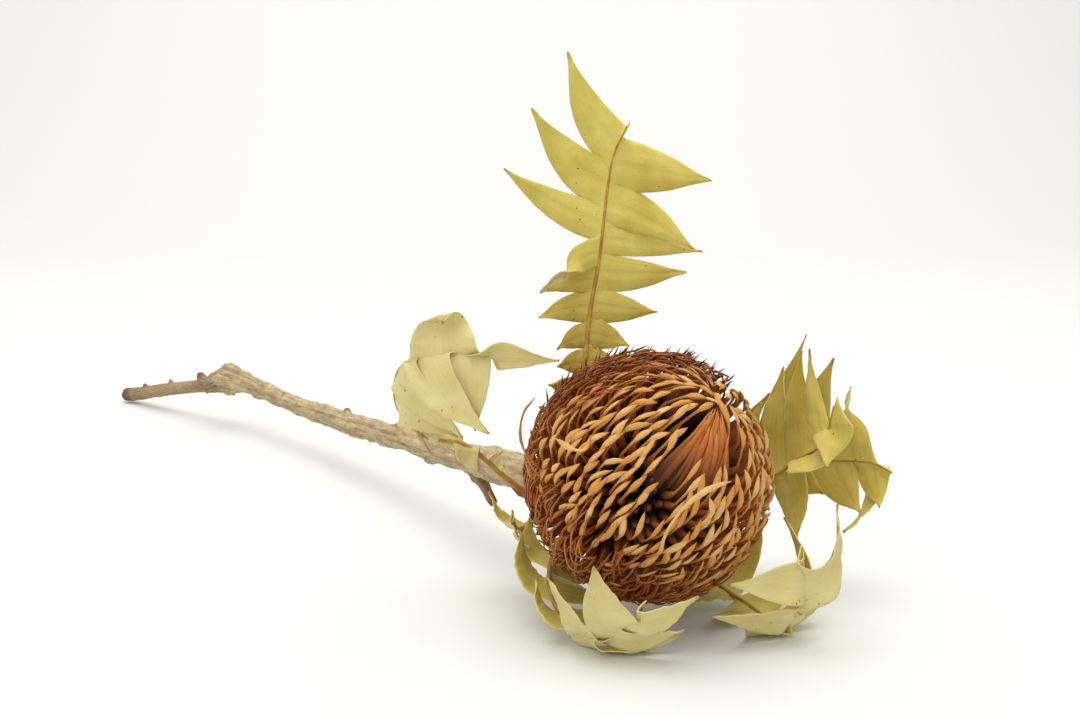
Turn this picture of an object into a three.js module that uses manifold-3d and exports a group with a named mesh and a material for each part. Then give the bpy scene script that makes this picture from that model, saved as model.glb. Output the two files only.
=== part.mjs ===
// A dried banksia flower, as cut: one woody stem, a whorl of deeply lobed leaves under
// the head, the woody axis of the head, and its flowers in tufts around that axis.
// Millimetres, +Z up, lying on a surface at z = 0. The origin is the middle of the
// bounding box's underside.
import * as THREE from "three";
import { mergeVertices } from "three/addons/utils/BufferGeometryUtils.js";
import Module from "manifold-3d";

const wasm = await Module();
wasm.setup();

// Driving dimensions.
const GAP = 0.35; // between pieces that touch in life
const MERGE = 0.05; // slivers finer than this are merged after a join or a cut
const HEAD_CENTRE = new THREE.Vector3(0, 0, 47);
const HEAD_AXIS = new THREE.Vector3(0.5, -0.47, 0.73).normalize(); // towards the apex
const HEAD_RADIUS = 38.5; // to the tips of the flowers
const CORE_RADIUS = 14; // the woody axis inside the head
const NECK_RADIUS = 6.5; // where the head sits on the stem
const NECK_LENGTH = 26; // from the head's centre down to the stem
const LEAF_THICKNESS = 0.9;
const MIDRIB_RADIUS = [1.3, 0.7]; // at the base and at the tip
const LOBE_ROWS = 4;

const NECK_END = HEAD_CENTRE.clone().addScaledVector(HEAD_AXIS, -NECK_LENGTH);

const paint = {
  stem: new THREE.MeshStandardMaterial({ color: "#b39a6b", roughness: 0.9, metalness: 0 }),
  axis: new THREE.MeshStandardMaterial({ color: "#4a2c1a", roughness: 0.95, metalness: 0 }),
  flower: new THREE.MeshStandardMaterial({ color: "#b07a42", roughness: 0.85, metalness: 0 }),
  opened: new THREE.MeshStandardMaterial({ color: "#7c4426", roughness: 0.85, metalness: 0 }),
  leaf: new THREE.MeshStandardMaterial({ color: "#c3b662", roughness: 0.6, metalness: 0 }),
};

// The stem's route from the cut end to the neck, and its radius at each point.
const STEM_ROUTE = [
  [-266, 374, 3.3, 4.2],
  [-238, 348, 11.5, 4.1],
  [-209, 320, 19, 4.4],
  [-194, 305, 26, 7.5],
  [-180, 291, 24, 4.6],
  [-141, 240, 21, 4.5],
  [-120, 206, 22, 5],
  [-92, 160, 25, 5],
  [-65, 110, 29, 6],
  [-48, 74, 33, 6.6],
  [-37, 53, 34, 7],
];

// Buds and old scars: share of the stem's length, turn about it in degrees, size.
const STEM_BUDS = [
  { at: 0.2, turn: 85, size: [2.6, 2.6, 4] },
  { at: 0.5, turn: 95, size: [2, 2, 2.2] },
  { at: 0.6, turn: -60, size: [2.4, 2.4, 1.6] },
  { at: 0.72, turn: 200, size: [3, 3, 2] },
  { at: 0.8, turn: 70, size: [2.8, 2.8, 2] },
  { at: 0.87, turn: 20, size: [3.4, 3.4, 1.5] },
];
const STUB = { from: [-58, 92, 29], to: [-51, 76, 21], radius: [2.8, 1.7] };

// The leaves. midrib: points from the base to the tip. facing: what the upper side looks
// at, at the base and at the tip. sag: how far the middle of a lobe hangs back, as a
// share of its length. Each lobe: share of the midrib, width, its tip, and its own sag.
const HEAD = HEAD_CENTRE.toArray();
const LEAVES = [
  {
    name: "top_leaf",
    sag: 0.08,
    midrib: [
      [-27, 42, 44], [-22, 44, 56], [-19, 45, 75], [-17, 49, 93], [-14, 52, 110], [-10, 53, 142],
      [-5, 50, 155],
    ],
    facing: [[-10, -400, 60], [0, -400, 120]],
    left: [
      [0.14, 12, -33, 38, 66], [0.27, 13, -33, 42, 73], [0.4, 13, -34, 45, 82], [0.52, 13, -36, 45, 92],
      [0.63, 12, -35, 42, 102], [0.73, 14, -46, 48, 141], [0.83, 14, -36, 50, 161], [0.94, 15, -25, 50, 179],
    ],
    right: [
      [0.12, 12, -10, 42, 64], [0.24, 12, -5, 43, 70], [0.36, 14, -2, 46, 80], [0.46, 13, 6, 47, 93],
      [0.56, 13, 15, 49, 107], [0.65, 10, 21, 53, 113], [0.76, 14, 18, 48, 114], [0.88, 18, 24, 47, 137],
    ],
  },
  {
    name: "left_leaf",
    sag: 0.1,
    midrib: [
      [-38, 30, 34], [-46, 27, 40], [-58, 22, 53], [-70, 18, 56], [-78, 15, 65], [-80, 13, 74],
      [-76, 7, 81], [-68, 2, 84], [-56, 2, 85], [-46, 6, 84],
    ],
    facing: [[-50, 300, 40], [-55, 300, 84]],
    left: [
      [0.26, 9, -54, 22, 46], [0.42, 12, -60, 20, 68], [0.56, 14, -62, 14, 62], [0.68, 14, -63, 8, 70],
      [0.79, 15, -62, -3, 61], [0.9, 14, -47, -4, 62], [0.97, 8, -28, 0, 84],
    ],
    right: [
      [0.15, 7, -47, 32, 48], [0.32, 9, -64, 32, 60], [0.48, 12, -68, 32, 66], [0.62, 13, -72, 29, 74],
      [0.74, 14, -66, 22, 80], [0.84, 19, -65, 8, 98], [0.95, 10, -46, 10, 93],
    ],
  },
  {
    name: "lower_left_leaf",
    sag: 0.32,
    midrib: [
      [-24, 34, 20], [-29, 14, 17], [-27, -8, 11], [-21, -22, 4], [-13, -31, 0.6], [-7, -38, 5],
      [-4, -43, 18],
    ],
    facing: [HEAD, HEAD],
    left: [
      [0.22, 14, -15, 20, 8, 0.1], [0.4, 15, -8, 3, 7, 0.1], [0.57, 16, 3, -12, 6, 0],
      [0.72, 15, 10, -24, 8, 0.05], [0.83, 14, 9, -38, 11, 0.15], [0.95, 13, 11, -44, 24],
    ],
    right: [
      [0.2, 14, -37, 30, 27], [0.4, 16, -38, 6, 25], [0.57, 17, -34, -10, 18], [0.73, 16, -30, -25, 16],
      [0.92, 17, -17, -44, 32],
    ],
  },
  {
    name: "lower_right_leaf",
    sag: 0.25,
    midrib: [
      [-4, 33, 17], [10, 31, 11], [24, 21, 6], [35, 3, 2], [40, -12, 0.6], [44, -18, 11],
      [45, -20, 26],
    ],
    facing: [HEAD, HEAD],
    left: [
      [0.18, 13, 18, 42, 20], [0.36, 15, 40, 27, 33], [0.53, 15, 52, 12, 18], [0.69, 15, 56, -2, 17],
      [0.83, 14, 46, -6, 38], [0.94, 15, 56, -20, 45],
    ],
    right: [
      [0.2, 12, 6, 17, 6, 0], [0.37, 14, 13, 2, 6, 0], [0.54, 14, 20, -12, 6, 0], [0.7, 14, 20, -25, 5, 0.05],
      [0.82, 14, 17, -27, 12, 0.15], [0.94, 13, 22, -29, 22],
    ],
  },
  {
    name: "right_leaf",
    sag: 0.1,
    midrib: [
      [-10, 37, 33], [4, 43, 34], [24, 37, 37], [40, 25, 42], [50, 20, 50], [57, 18, 57],
      [57, 20, 73],
    ],
    facing: [[20, -200, 140], [30, -200, 100]],
    left: [
      [0.15, 10, 8, 43, 48], [0.28, 11, 22, 38, 57], [0.42, 13, 35, 24, 68], [0.56, 12, 42, 21, 79],
      [0.69, 11, 48, 21, 83], [0.82, 9, 53, 22, 82],
    ],
    right: [
      [0.18, 9, 16, 40, 22], [0.33, 10, 31, 34, 24], [0.47, 12, 41, 20, 32], [0.6, 13, 51, 12, 24],
      [0.74, 11, 62, 10, 40], [0.87, 10, 64, 10, 60],
    ],
  },
  {
    name: "far_right_leaf",
    sag: 0.12,
    midrib: [[-8, 41, 27], [10, 50, 29], [34, 45, 37], [52, 36, 43], [66, 31, 46], [82, 29, 42]],
    facing: [[40, -200, 100], [60, -200, 100]],
    left: [
      [0.25, 11, 22, 48, 56], [0.42, 12, 44, 40, 66], [0.6, 12, 56, 34, 85], [0.74, 11, 62, 33, 80],
      [0.87, 10, 68, 30, 70], [0.97, 9, 74, 28, 69],
    ],
    right: [
      [0.28, 10, 25, 44, 16], [0.46, 11, 44, 38, 22], [0.62, 11, 59, 28, 34], [0.76, 11, 66, 25, 27],
      [0.9, 11, 79, 24, 28],
    ],
  },
  {
    name: "back_leaf",
    sag: 0.15,
    midrib: [[-35, 38, 25], [-39, 30, 23], [-42, 22, 25], [-43, 17, 32]],
    facing: [[-20, 10, 60], HEAD],
    left: [[0.35, 8, -34, 22, 15], [0.75, 9, -37, 14, 20]],
    right: [[0.35, 8, -49, 31, 30], [0.75, 9, -50, 18, 38]],
  },
];

// The flowers' tufts, tier by tier from the apex: where each tier ends on the core, in
// degrees from the apex, and how many tufts stand round it.
const TIERS = [
  { end: 15, tufts: 1 },
  { end: 36, tufts: 4 },
  { end: 58, tufts: 6 },
  { end: 81, tufts: 7 },
  { end: 104, tufts: 8 },
  { end: 127, tufts: 8 },
  { end: 148, tufts: 7 },
];
const OPENED_FROM_TIER = 5; // the lowest tiers have opened, and are darker
const TUFT_TEETH = 3;
const TUFT_ROWS = 4;
const VALLEY = 6; // how deep the notches between a tuft's teeth are
const STEM_CLEARANCE = 9; // radius kept free of flowers round the stem
const PARTING = new THREE.Vector3(0.14, -0.97, 0.2).normalize(); // the flowers part here
const PARTING_ANGLE = 17;
const PARTED_LENGTH = 0.6; // of the head's radius

const vec = (p) => new THREE.Vector3(p[0], p[1], p[2]);
const mix = THREE.MathUtils.lerp;
const rad = THREE.MathUtils.degToRad;

// A closed geometry as a manifold solid, with only its positions kept.
function solidOf(geometry) {
  const bare = geometry.clone();
  for (const name of Object.keys(bare.attributes)) {
    if (name !== "position") bare.deleteAttribute(name);
  }
  const merged = mergeVertices(bare, 1e-4);
  const make = (triVerts) =>
    new wasm.Manifold(
      new wasm.Mesh({ numProp: 3, vertProperties: merged.attributes.position.array, triVerts }),
    );
  const solid = make(new Uint32Array(merged.index.array));
  return solid.volume() > 0 ? solid : make(new Uint32Array(merged.index.array).reverse());
}

// A manifold solid as a three.js geometry.
function geometryOf(solid) {
  const mesh = solid.getMesh();
  const geometry = new THREE.BufferGeometry();
  geometry.setAttribute("position", new THREE.BufferAttribute(mesh.vertProperties, 3));
  geometry.setIndex(new THREE.BufferAttribute(mesh.triVerts, 1));
  geometry.computeVertexNormals();
  return geometry;
}

// A solid without slivers, and with the hollows that its parts close in filled.
function tidied(solid) {
  const shells = solid.simplify(MERGE).decompose();
  return wasm.Manifold.compose(shells.filter((shell) => shell.volume() > 0));
}

// Closed geometries joined into one, with whatever sinks below the floor cut off flat.
function joined(geometries) {
  const whole = geometries.map(solidOf).reduce((sum, part) => sum.add(part));
  return geometryOf(tidied(whole.trimByPlane([0, 0, 1], 0)));
}

// Moves each vertex of a geometry to where place(x, y, z) says.
function bent(geometry, place) {
  const position = geometry.attributes.position;
  for (let i = 0; i < position.count; i++) {
    const p = place(position.getX(i), position.getY(i), position.getZ(i));
    position.setXYZ(i, p.x, p.y, p.z);
  }
  return geometry;
}

// A block of columns by rows, bent by place(across, along, through), all from 0 to 1.
function bentBlock(columns, rows, place) {
  const block = new THREE.BoxGeometry(1, 1, 1, columns, rows, 1);
  return bent(block, (x, y, z) => place(x + 0.5, y + 0.5, z + 0.5));
}

// A round rod of changing radius along a curve, from a straight lathe.
function rod(curve, radiusAt, steps, sides) {
  const frames = curve.computeFrenetFrames(steps, false);
  const profile = [new THREE.Vector2(0, 0)];
  for (let i = 0; i <= steps; i++) profile.push(new THREE.Vector2(1, i));
  profile.push(new THREE.Vector2(0, steps));
  return bent(new THREE.LatheGeometry(profile, sides), (x, y, z) => {
    const i = Math.round(y);
    const share = i / steps;
    const radius = radiusAt(share);
    return curve
      .getPointAt(share)
      .addScaledVector(frames.normals[i], x * radius)
      .addScaledVector(frames.binormals[i], -z * radius);
  });
}

function listAt(values, share) {
  const place = share * (values.length - 1);
  const low = Math.min(Math.floor(place), values.length - 2);
  return mix(values[low], values[low + 1], place - low);
}

// ---- The stem ----

function makeStem() {
  const top = NECK_END.clone().addScaledVector(HEAD_AXIS, -GAP);
  const bend = top.clone().addScaledVector(HEAD_AXIS, -3);
  const route = [...STEM_ROUTE.map(vec), bend, top];
  const radii = [...STEM_ROUTE.map((p) => p[3]), NECK_RADIUS, NECK_RADIUS];
  const curve = new THREE.CatmullRomCurve3(route, false, "centripetal");
  const points = route.map((p) => nearestShare(curve, p));
  const radiusAt = (share) => {
    let i = 0;
    while (i < points.length - 2 && points[i + 1] < share) i++;
    const t = (share - points[i]) / (points[i + 1] - points[i]);
    return mix(radii[i], radii[i + 1], THREE.MathUtils.smoothstep(t, 0, 1));
  };
  const parts = [rod(curve, radiusAt, 34, 9)];
  for (const bud of STEM_BUDS) {
    const centre = curve.getPointAt(bud.at);
    const along = curve.getTangentAt(bud.at);
    const side = new THREE.Vector3().crossVectors(along, new THREE.Vector3(0, 0, 1)).normalize();
    const out = side.applyAxisAngle(along, rad(bud.turn));
    centre.addScaledVector(out, radiusAt(bud.at) - 0.4);
    const knob = new THREE.SphereGeometry(1, 7, 5).scale(...bud.size);
    knob.applyQuaternion(new THREE.Quaternion().setFromUnitVectors(new THREE.Vector3(0, 0, 1), out));
    parts.push(knob.translate(centre.x, centre.y, centre.z));
  }
  const stub = new THREE.LineCurve3(vec(STUB.from), vec(STUB.to));
  parts.push(rod(stub, (share) => listAt(STUB.radius, share), 2, 7));
  return joined(parts);
}

// How far along a curve, from 0 to 1, its nearest point to p lies.
function nearestShare(curve, p) {
  const steps = 400;
  let best = 0;
  let least = Infinity;
  for (let i = 0; i <= steps; i++) {
    const distance = curve.getPointAt(i / steps).distanceTo(p);
    if (distance < least) {
      least = distance;
      best = i / steps;
    }
  }
  return best;
}

// ---- The leaves ----

// The leaf's own directions at a share of its midrib: along it, its face and its right.
function leafFrame(curve, facing, share) {
  const at = curve.getPointAt(share);
  const along = curve.getTangentAt(share);
  const target = vec(facing[0]).lerp(vec(facing[1]), share);
  const face = target.sub(at);
  face.addScaledVector(along, -face.dot(along)).normalize();
  return { at, along, face, right: new THREE.Vector3().crossVectors(along, face) };
}

// One lobe: a thin curved blade that starts across the midrib and narrows to its tip.
function makeLobe(curve, leaf, [share, width, x, y, z, sag = leaf.sag]) {
  const tip = new THREE.Vector3(x, y, z);
  const { at, along, face } = leafFrame(curve, leaf.facing, share);
  const reach = tip.clone().sub(at);
  const length = reach.length();
  const forward = along.clone().multiplyScalar(reach.dot(along));
  const bend = at.clone().addScaledVector(reach, 0.5).addScaledVector(forward, -0.22);
  bend.addScaledVector(face, -sag * length);
  const line = new THREE.QuadraticBezierCurve3(at, bend, tip);
  const half = (0.5 * width) / curve.getLength();
  const flat = reach.clone().cross(face).normalize();
  const turned = flat.dot(along) < 0 ? flat.negate() : flat;
  return bentBlock(2, LOBE_ROWS, (across, out, through) => {
    const side = across - 0.5;
    const foot = curve.getPointAt(THREE.MathUtils.clamp(share + 2 * side * half, 0, 1));
    const bulge = 1 + (side < 0 ? 1.5 : 0.4) * out * (1 - out);
    const taper = width * Math.max(1 - out, 0.02) ** 0.8 * bulge;
    const spread = along.clone().lerp(turned, Math.min(1, 2 * out)).normalize();
    const point = line.getPoint(out).addScaledVector(spread, side * taper);
    if (out < 0.01) point.copy(foot);
    const normal = spread.cross(line.getTangent(out)).normalize();
    return point.addScaledVector(normal, (through - 0.5) * LEAF_THICKNESS * mix(1, 0.5, out));
  });
}

function makeLeaf(leaf) {
  const curve = new THREE.CatmullRomCurve3(leaf.midrib.map(vec), false, "centripetal");
  const parts = [rod(curve, (share) => listAt(MIDRIB_RADIUS, share), 12, 6)];
  for (const lobe of [...leaf.left, ...leaf.right]) parts.push(makeLobe(curve, leaf, lobe));
  return joined(parts);
}

// ---- The head ----

// A point of the head from its distance to the centre, its angle to the apex and its turn.
const headTurn = new THREE.Quaternion().setFromUnitVectors(new THREE.Vector3(0, 0, 1), HEAD_AXIS);
function headPoint(distance, angle, turn) {
  return new THREE.Vector3(
    distance * Math.sin(angle) * Math.cos(turn),
    distance * Math.sin(angle) * Math.sin(turn),
    distance * Math.cos(angle),
  )
    .applyQuaternion(headTurn)
    .add(HEAD_CENTRE);
}

// The woody axis: a round core with a neck that goes down to the stem.
function makeAxis() {
  const profile = [];
  const waist = Math.PI - Math.asin(NECK_RADIUS / CORE_RADIUS) - 0.1;
  for (let i = 0; i <= 9; i++) {
    const angle = (waist * i) / 9;
    profile.push(new THREE.Vector2(CORE_RADIUS * Math.sin(angle), CORE_RADIUS * Math.cos(angle)));
  }
  profile[0].x = 0;
  profile.push(new THREE.Vector2(NECK_RADIUS, -CORE_RADIUS - 4));
  profile.push(new THREE.Vector2(NECK_RADIUS, -NECK_LENGTH));
  profile.push(new THREE.Vector2(0, -NECK_LENGTH));
  profile.reverse();
  const lathe = new THREE.LatheGeometry(profile, 16);
  const upright = new THREE.Quaternion().setFromUnitVectors(new THREE.Vector3(0, 1, 0), HEAD_AXIS);
  return lathe.applyQuaternion(upright).translate(...HEAD_CENTRE.toArray());
}

// Where a tuft's side, which starts on the core at this angle, has got to further out.
function leant(angle, distance) {
  const out = (distance - CORE_RADIUS - GAP) / (HEAD_RADIUS - CORE_RADIUS - GAP);
  const lean = 0.32 * (1 - angle / rad(190));
  return angle * (1 - lean * Math.max(out, 0) ** 1.8);
}

// One tuft of flowers: a wedge from the core outwards that leans to the apex and ends in
// a row of points.
function makeTuft(start, end, tufts, place) {
  const inner = CORE_RADIUS + GAP;
  const columns = 2 * TUFT_TEETH;
  const step = (2 * Math.PI) / tufts;
  const turnStart = step * place + ((start * 0.37) % step);
  const middle = headPoint(1, 0.5 * (start + end), turnStart + 0.5 * step).sub(HEAD_CENTRE);
  const isParted = middle.angleTo(PARTING) < rad(PARTING_ANGLE);
  const outer = HEAD_RADIUS * (isParted ? PARTED_LENGTH : 1);
  return bentBlock(columns, TUFT_ROWS, (across, along, through) => {
    const isTip = along > 0.99;
    const isValley = Math.round(across * columns) % 2 === 0;
    const distance = mix(inner, outer, along) - (isTip && isValley ? VALLEY : 0);
    const clear = GAP / distance;
    const pinch = isTip ? 0.15 : 0;
    const low = leant(mix(start, end, pinch), distance) + clear;
    const high = leant(mix(end, start, pinch), distance) - clear;
    const angle = mix(low, high, through);
    const sideways = clear / Math.max(Math.sin(angle), 0.1);
    return headPoint(distance, angle, turnStart + mix(sideways, step - sideways, across));
  });
}

// The apex tuft: a closed bundle round the axis.
function makeApexTuft(end) {
  const inner = CORE_RADIUS + GAP;
  const profile = [new THREE.Vector2(0, inner)];
  for (let i = 0; i <= TUFT_ROWS; i++) {
    const distance = mix(inner, HEAD_RADIUS - 2, i / TUFT_ROWS);
    const angle = leant(end, distance) - GAP / distance;
    profile.push(new THREE.Vector2(distance * Math.sin(angle), distance * Math.cos(angle)));
  }
  profile.push(new THREE.Vector2(0, HEAD_RADIUS));
  const upright = new THREE.Quaternion().setFromUnitVectors(new THREE.Vector3(0, 1, 0), HEAD_AXIS);
  const bundle = new THREE.LatheGeometry(profile, 10).applyQuaternion(upright);
  return bundle.translate(...HEAD_CENTRE.toArray());
}

// A tuft with the room for the stem cut out of it, when it reaches into that room.
function clearOfStem(tuft, room) {
  const solid = solidOf(tuft);
  if (solid.intersect(room).volume() < 0.01) return tuft;
  const pieces = tidied(solid.subtract(room)).decompose();
  return geometryOf(pieces.sort((a, b) => b.volume() - a.volume())[0]);
}

function addFlowers(group) {
  const route = new THREE.LineCurve3(NECK_END, vec(STEM_ROUTE[STEM_ROUTE.length - 1]));
  const room = solidOf(rod(route, () => STEM_CLEARANCE, 1, 10));
  let start = 0;
  TIERS.forEach(({ end, tufts }, tier) => {
    const material = tier >= OPENED_FROM_TIER ? paint.opened : paint.flower;
    for (let place = 0; place < tufts; place++) {
      const isApex = tier === 0;
      const whole = isApex ? makeApexTuft(rad(end)) : makeTuft(rad(start), rad(end), tufts, place);
      const tuft = new THREE.Mesh(clearOfStem(whole, room), material);
      tuft.name = isApex ? "flowers_apex" : `flowers_${tier}_${place + 1}`;
      group.add(tuft);
    }
    start = end;
  });
}

// ---- The whole flower ----

function makeBanksia() {
  const group = new THREE.Group();
  const add = (name, geometry, material) => {
    const mesh = new THREE.Mesh(geometry, material);
    mesh.name = name;
    group.add(mesh);
  };
  add("stem", makeStem(), paint.stem);
  add("head_axis", makeAxis(), paint.axis);
  for (const leaf of LEAVES) add(leaf.name, makeLeaf(leaf), paint.leaf);
  addFlowers(group);

  const box = new THREE.Box3().setFromObject(group);
  const middle = box.getCenter(new THREE.Vector3());
  group.position.set(-middle.x, -middle.y, -box.min.z);
  return group;
}

export default makeBanksia();
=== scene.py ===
"""Looks of a dried banksia flower: its stem, its lobed leaves and the flowers of its head.

The shapes are worked out in millimetres from the point of the floor that lies under the
head's centre, with +Z up, and put in their place in metres.
"""

import math
import random

import bmesh
import bpy
from bpy.props import (
    FloatProperty,
    FloatVectorProperty,
    IntProperty,
    PointerProperty,
)
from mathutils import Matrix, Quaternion, Vector, noise


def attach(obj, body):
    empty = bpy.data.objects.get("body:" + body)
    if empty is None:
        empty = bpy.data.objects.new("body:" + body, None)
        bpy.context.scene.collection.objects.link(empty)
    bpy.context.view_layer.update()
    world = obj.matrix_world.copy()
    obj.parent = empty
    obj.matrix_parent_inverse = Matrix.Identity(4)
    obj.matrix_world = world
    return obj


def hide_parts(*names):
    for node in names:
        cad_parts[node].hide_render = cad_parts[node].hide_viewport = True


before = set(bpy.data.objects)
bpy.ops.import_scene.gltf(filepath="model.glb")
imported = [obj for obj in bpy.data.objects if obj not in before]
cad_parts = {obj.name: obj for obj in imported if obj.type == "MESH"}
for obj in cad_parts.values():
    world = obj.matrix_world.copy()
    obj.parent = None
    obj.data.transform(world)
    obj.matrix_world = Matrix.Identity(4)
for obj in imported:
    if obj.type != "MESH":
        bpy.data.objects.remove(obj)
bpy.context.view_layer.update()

bl_info = {
    "name": "Dried Banksia Flower",
    "version": (1, 0, 0),
    "blender": (4, 5, 0),
    "location": "View3D > Sidebar > Banksia",
    "description": "Builds a dried banksia flower on its packed frame",
    "category": "Add Mesh",
}

MM = 0.001

# The place of the head on its floor, and the head's own shape.
HEAD_FOOT = Vector((93.07, -165.22, 0.0))
HEAD_CENTRE = Vector((0.0, 0.0, 47.0))
HEAD_AXIS = Vector((0.5, -0.47, 0.73)).normalized()
HEAD_TURN = Vector((0, 0, 1)).rotation_difference(HEAD_AXIS)
CORE_RADIUS = 14.0
NECK_RADIUS = 6.5
NECK_LENGTH = 26.0

# The tufts of the frame: where each tier ends, in degrees from the apex, and how many
# tufts stand round it.
TIERS = ((15, 1), (36, 4), (58, 6), (81, 7), (104, 8), (127, 8), (148, 7))

# The stem's route from the cut end to the neck, and its radius at each point.
STEM_ROUTE = (
    (-266, 374, 3.9, 3.9),
    (-252, 362, 7.5, 3.7),
    (-238, 348, 11.5, 3.7),
    (-222, 333, 15.5, 3.6),
    (-209, 320, 19, 4.0),
    (-200, 311, 23, 5.6),
    (-194, 305, 25, 7.6),
    (-187, 298, 25, 6.2),
    (-180, 291, 24, 4.7),
    (-160, 265, 22, 4.2),
    (-141, 240, 21, 4.4),
    (-120, 206, 22, 4.9),
    (-92, 160, 25, 5.0),
    (-65, 110, 29, 5.8),
    (-48, 74, 33, 6.4),
    (-37, 53, 34, 6.8),
    (-24, 34, 31, 6.6),
    (-14.5, 13.6, 25.9, 6.4),
)

# Buds and scars: share of the stem's length, turn about it in degrees, size, and how
# much redder than the bark it is.
STEM_BUDS = (
    (0.045, 70, (1.6, 1.6, 2.6), 0.9),
    (0.1, 95, (1.3, 1.3, 2.4), 1.0),
    (0.175, 70, (2.2, 2.4, 5.0), 1.0),
    (0.19, -30, (2.6, 3.0, 2.8), 0.4),
    (0.205, 160, (2.4, 3.4, 2.6), 0.5),
    (0.3, -40, (2.0, 3.0, 1.2), 0.3),
    (0.36, 60, (1.6, 2.2, 1.4), 0.6),
    (0.45, 150, (2.2, 3.0, 1.6), 0.3),
    (0.5, 95, (2.2, 2.6, 3.0), 0.9),
    (0.545, -20, (2.6, 3.4, 1.8), 0.4),
    (0.62, 80, (2.4, 3.0, 2.2), 0.5),
    (0.7, -60, (3.0, 3.6, 2.2), 0.4),
    (0.745, 75, (2.8, 3.2, 2.8), 0.7),
    (0.83, 20, (3.6, 4.4, 2.0), 0.6),
    (0.9, -35, (4.2, 4.6, 1.6), 1.0),
)
STUBS = (((-58, 92, 27), (-51, 76, 19), 2.6, 1.5), ((-61, 98, 29), (-57, 92, 24), 3.4, 2.2))

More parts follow.
